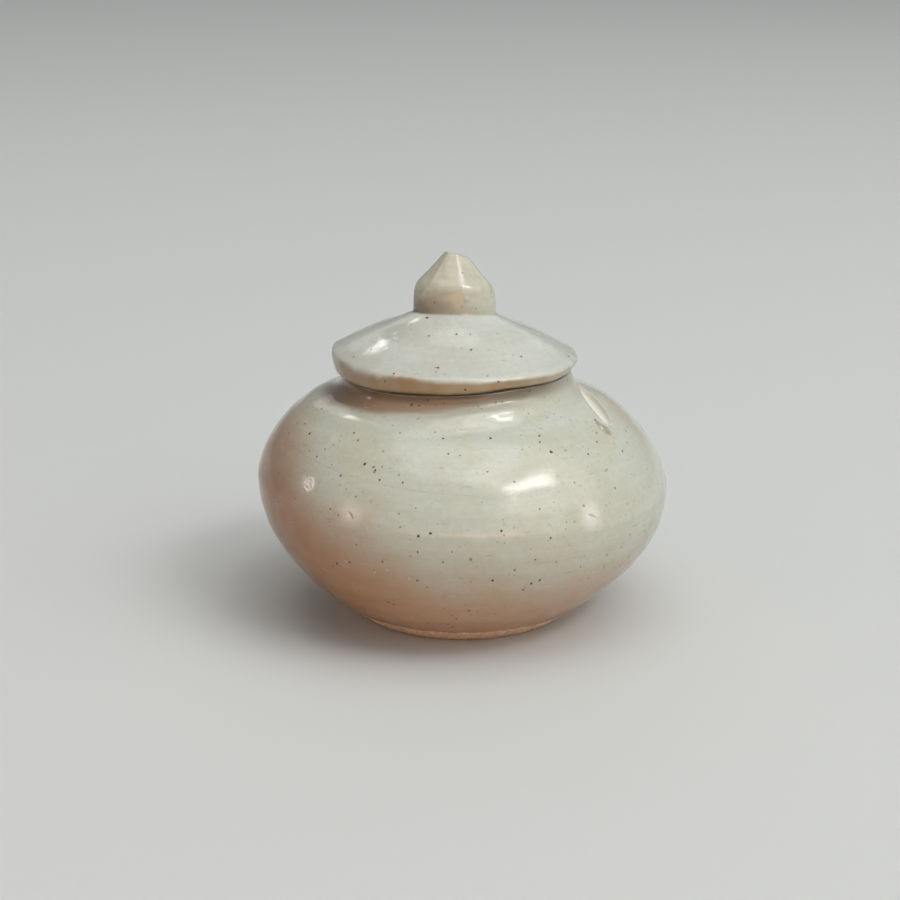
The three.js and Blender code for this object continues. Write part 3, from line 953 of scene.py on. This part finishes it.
def glazed_knob(finish):
    buried = point(KNOB_RADIUS - 0.3, KNOB_SEAT - 0.2)
    foot = point(KNOB_RADIUS, KNOB_SEAT)
    meniscus = point(KNOB_RADIUS + 0.15, KNOB_SEAT - 0.1)
    waist = point(KNOB_RADIUS, KNOB_BASE + 0.3)
    ridge = point(KNOB_RADIUS - KNOB_TAPER, KNOB_BASE + KNOB_RIDGE_HEIGHT)
    top = KNOB_BASE + KNOB_HEIGHT
    tip_edge = point(KNOB_TIP_RADIUS, top - KNOB_TIP_ROUND)
    near_tip, tip = point(KNOB_TIP_RADIUS, top), point(0, top)
    fine = OUTSIDE_SPACING / 2
    ridge_corner = corner(waist, ridge, tip_edge, 1.6 * KNOB_RIDGE_ROUND, CORNER_SPACING)
    points, runs, starts = joined({
        "under": line(point(0, buried.y), buried, HIDDEN_SPACING),
        "fillet": curve(meniscus, meniscus.lerp(foot, 2 / 3), waist.lerp(foot, 2 / 3), waist,
                        CORNER_SPACING),
        "barrel": line(waist, ridge_corner[0], fine),
        "ridge": ridge_corner,
        "cone": line(ridge_corner[-1], tip_edge, fine),
        "tip": curve(tip_edge, tip_edge.lerp(near_tip, 2 / 3), tip.lerp(near_tip, 2 / 3), tip,
                     CORNER_SPACING),
    })
    bm, run_layer = turned(points, runs, KNOB_SIDES)
    masks = mask_layers(bm)
    beads = centred(KNOB_BEADS, lambda height: KNOB_RADIUS)
    for vert in bm.verts:
        place, run = vert.co.copy(), vert[run_layer]
        azimuth = azimuth_of(place)
        turn = (azimuth - KNOB_FIRST_CUT) % (360 / KNOB_CUTS) - 180 / KNOB_CUTS
        flat = math.cos(math.pi / KNOB_CUTS) / math.cos(math.radians(turn))
        cone_share = smooth(run, starts["ridge"], starts["cone"] + 0.8)
        inward = 1 - (1 - flat) * (KNOB_CUT_SHARE * cone_share + 0.06)
        place.x *= inward
        place.y *= inward
        move = waves(place, KNOB_WAVES, 23) + waves(place, KNOB_GRIT, 29)
        move *= smooth(run, starts["fillet"], starts["fillet"] + 1)
        vert.co = place + vert.normal * (move + raised(place, beads))
        blade = top - (vert.co.x + KNOB_TIP_RADIUS) * math.tan(math.radians(KNOB_TIP_CUT))
        blend = clamp(0.5 + (vert.co.z - blade) / (2 * KNOB_CUT_SOFTNESS))
        vert.co.z += (blade - vert.co.z) * blend - KNOB_CUT_SOFTNESS * blend * (1 - blend)

        # Painted shade round the foot, with pooled glaze, and on the dark and front sides of the barrel; the
        # tan is the barrel's own colour
        shaded_side = facing(azimuth, *KNOB_SHADED_SIDE)
        foot_share = 1 - smooth(run, starts["fillet"] + 0.3, starts["barrel"] + 2)
        barrel = 1 - smooth(run, starts["ridge"] - 0.1, starts["ridge"] + 0.4)
        mottled = 1 + waves(place, KNOB_MOTTLING, 67)
        vert[masks["thin"]] = clamp(0.65 * mottled * barrel * facing(azimuth, *KNOB_TAN_SIDE))
        shaded = 0.4 * facing(azimuth, *KNOB_DARK_SIDE) + 0.08 * facing(azimuth, *KNOB_FRONT_SIDE)
        shaded *= barrel * mottled
        vert[masks["pool_and_shade"]] = clamp(shaded + foot_share * (0.12 + 0.4 * shaded_side))
        # Painted highlight along the cut edges of the cone, strongest on the edge at the first cut
        edge = bell(turn - 180 / KNOB_CUTS, 16) + bell(turn + 180 / KNOB_CUTS, 16)
        vert[masks["thick_and_highlight"]] = cone_share * edge * (0.12 + 0.45 * facing(azimuth, KNOB_FIRST_CUT, 40))
    return finished(bm, "glazed_knob", LID_OFFSET, finish, "lid", "lid_knob")


def clay_locating_ring(finish):
    outer = NECK_RADIUS - WALL - RING_CLEARANCE
    inner = outer - RING_WALL
    top, bottom = LID_SEAT, LID_SEAT - RING_DEPTH
    lower_outer, lower_inner = point(outer, bottom), point(inner, bottom)
    inner_corner = corner(point(inner, top), lower_inner, lower_outer, RING_ROUND)
    outer_corner = corner(lower_inner, lower_outer, point(outer, top), RING_ROUND)
    points, runs, _ = joined({
        "inner": line(point(inner, top), inner_corner[0], OUTSIDE_SPACING) + inner_corner,
        "under": line(inner_corner[-1], outer_corner[0], OUTSIDE_SPACING) + outer_corner,
        "outer": line(outer_corner[-1], point(outer, top), OUTSIDE_SPACING),
        "top": line(point(outer, top), point(inner, top), HIDDEN_SPACING)[:-1],
    })
    bm, _ = turned(points, runs, RING_SIDES, closed=True)
    for vert in bm.verts:
        free = 1 - smooth(vert.co.z, top - 0.4, top)
        vert.co += vert.normal * free * (waves(vert.co, RING_WAVES, 31) + waves(vert.co, RING_GRIT, 37))
    return finished(bm, "clay_locating_ring", LID_OFFSET, finish, "lid", "lid_locating_ring")


# The floor, the lights and the camera

def studio():
    bm = bmesh.new()
    bmesh.ops.create_grid(bm, x_segments=1, y_segments=1, size=8)
    mesh = bpy.data.meshes.new("floor")
    bm.to_mesh(mesh)
    bm.free()
    floor = bpy.data.objects.new("floor", mesh)
    bpy.context.scene.collection.objects.link(floor)
    material, tree = new_material("matt_painted_board")
    surface = add(tree, "BsdfPrincipled", {"Base Color": colour("#c4c6c4"), "Roughness": 0.9})
    add(tree, "OutputMaterial", {"Surface": surface})
    mesh.materials.append(material)

    world = bpy.data.worlds.new("room")
    world.use_nodes = True
    background = world.node_tree.nodes["Background"]
    background.inputs["Color"].default_value = colour("#e6e8e8")
    background.inputs["Strength"].default_value = 0.32
    bpy.context.scene.world = world
    bpy.context.scene.view_settings.view_transform = "Standard"

    softbox("ceiling", azimuth=0, elevation=82, distance=6, size=(4.8, 4.8), watts=105)
    softbox("back_wall", azimuth=180, elevation=40, distance=5, size=(4, 4), watts=30)
    softbox("front_right_wall", azimuth=40, elevation=22, distance=2.5, size=(1.6, 1.6), watts=7)
    softbox("right_curtain", azimuth=62, elevation=50, distance=2.5, size=(2.4, 2.4), watts=28)
    softbox("left_wall", azimuth=-70, elevation=35, distance=2.5, size=(1.6, 1.6), watts=1.5)
    softbox("right_window", azimuth=53, elevation=48, distance=0.9, size=(0.42, 0.14), watts=2.1)
    softbox("left_window", azimuth=-96, elevation=17, distance=0.9, size=(0.042, 0.032), watts=0.12)
    softbox("back_lamp", azimuth=-154, elevation=38, distance=0.9, size=(0.045, 0.03), watts=0.08)
    softbox("warm_left", azimuth=-50, elevation=9, distance=0.9, size=(1, 0.3), watts=0.6, tint="#ffbc84")
    softbox("warm_front", azimuth=5, elevation=4, distance=0.9, size=(1, 0.15), watts=1.2, tint="#ffb27a")


def softbox(name, azimuth, elevation, distance, size, watts, tint="#ffffff"):
    """A rectangular lamp that faces the pot, at an azimuth and an elevation in degrees."""
    light = bpy.data.lights.new(name, "AREA")
    light.shape = "RECTANGLE"
    light.color = colour(tint)[:3]
    light.size, light.size_y = size
    light.energy = watts
    lamp = bpy.data.objects.new(name, light)
    turn, up = math.radians(azimuth), math.radians(elevation)
    away = Vector((math.sin(turn) * math.cos(up), -math.cos(turn) * math.cos(up), math.sin(up)))
    middle = Vector((0, 0, BELLY_HEIGHT * MM))
    lamp.location = middle + away * distance
    lamp.rotation_euler = (-away).to_track_quat("-Z", "Y").to_euler()
    bpy.context.scene.collection.objects.link(lamp)


def viewer():
    lens = bpy.data.cameras.new("viewer")
    lens.angle = math.radians(FIELD_OF_VIEW)
    lens.clip_start = 0.01
    camera = bpy.data.objects.new("viewer", lens)
    camera.location = Vector(CAMERA_AT) * MM
    aim = (Vector(CAMERA_AIM) - Vector(CAMERA_AT)) * MM
    camera.rotation_euler = aim.to_track_quat("-Z", "Y").to_euler()
    bpy.context.scene.collection.objects.link(camera)
    bpy.context.scene.camera = camera


jar_finish = fired_glaze("grey_green_stoneware_glaze", "#b7bdb1", "#b4b29f", "#b07c50",
                         JAR_SPECKS, radius_at, 0, peppered=1, scratch=True)
lid_finish = fired_glaze("pale_lid_glaze", "#b9bdb4", "#b6b8ac", "#a28964",
                         LID_SPECKS, lid_radius_at, LID_OFFSET, peppered=0.5)
knob_finish = fired_glaze("warm_knob_glaze", "#b9bcab", "#b3ae9c", "#a79f8a",
                          KNOB_SPECKS, lambda height: KNOB_RADIUS, LID_OFFSET, peppered=0.3)
glazed_jar(jar_finish)
glazed_lid(lid_finish)
glazed_knob(knob_finish)
clay_locating_ring(bare_stoneware())
studio()
viewer()
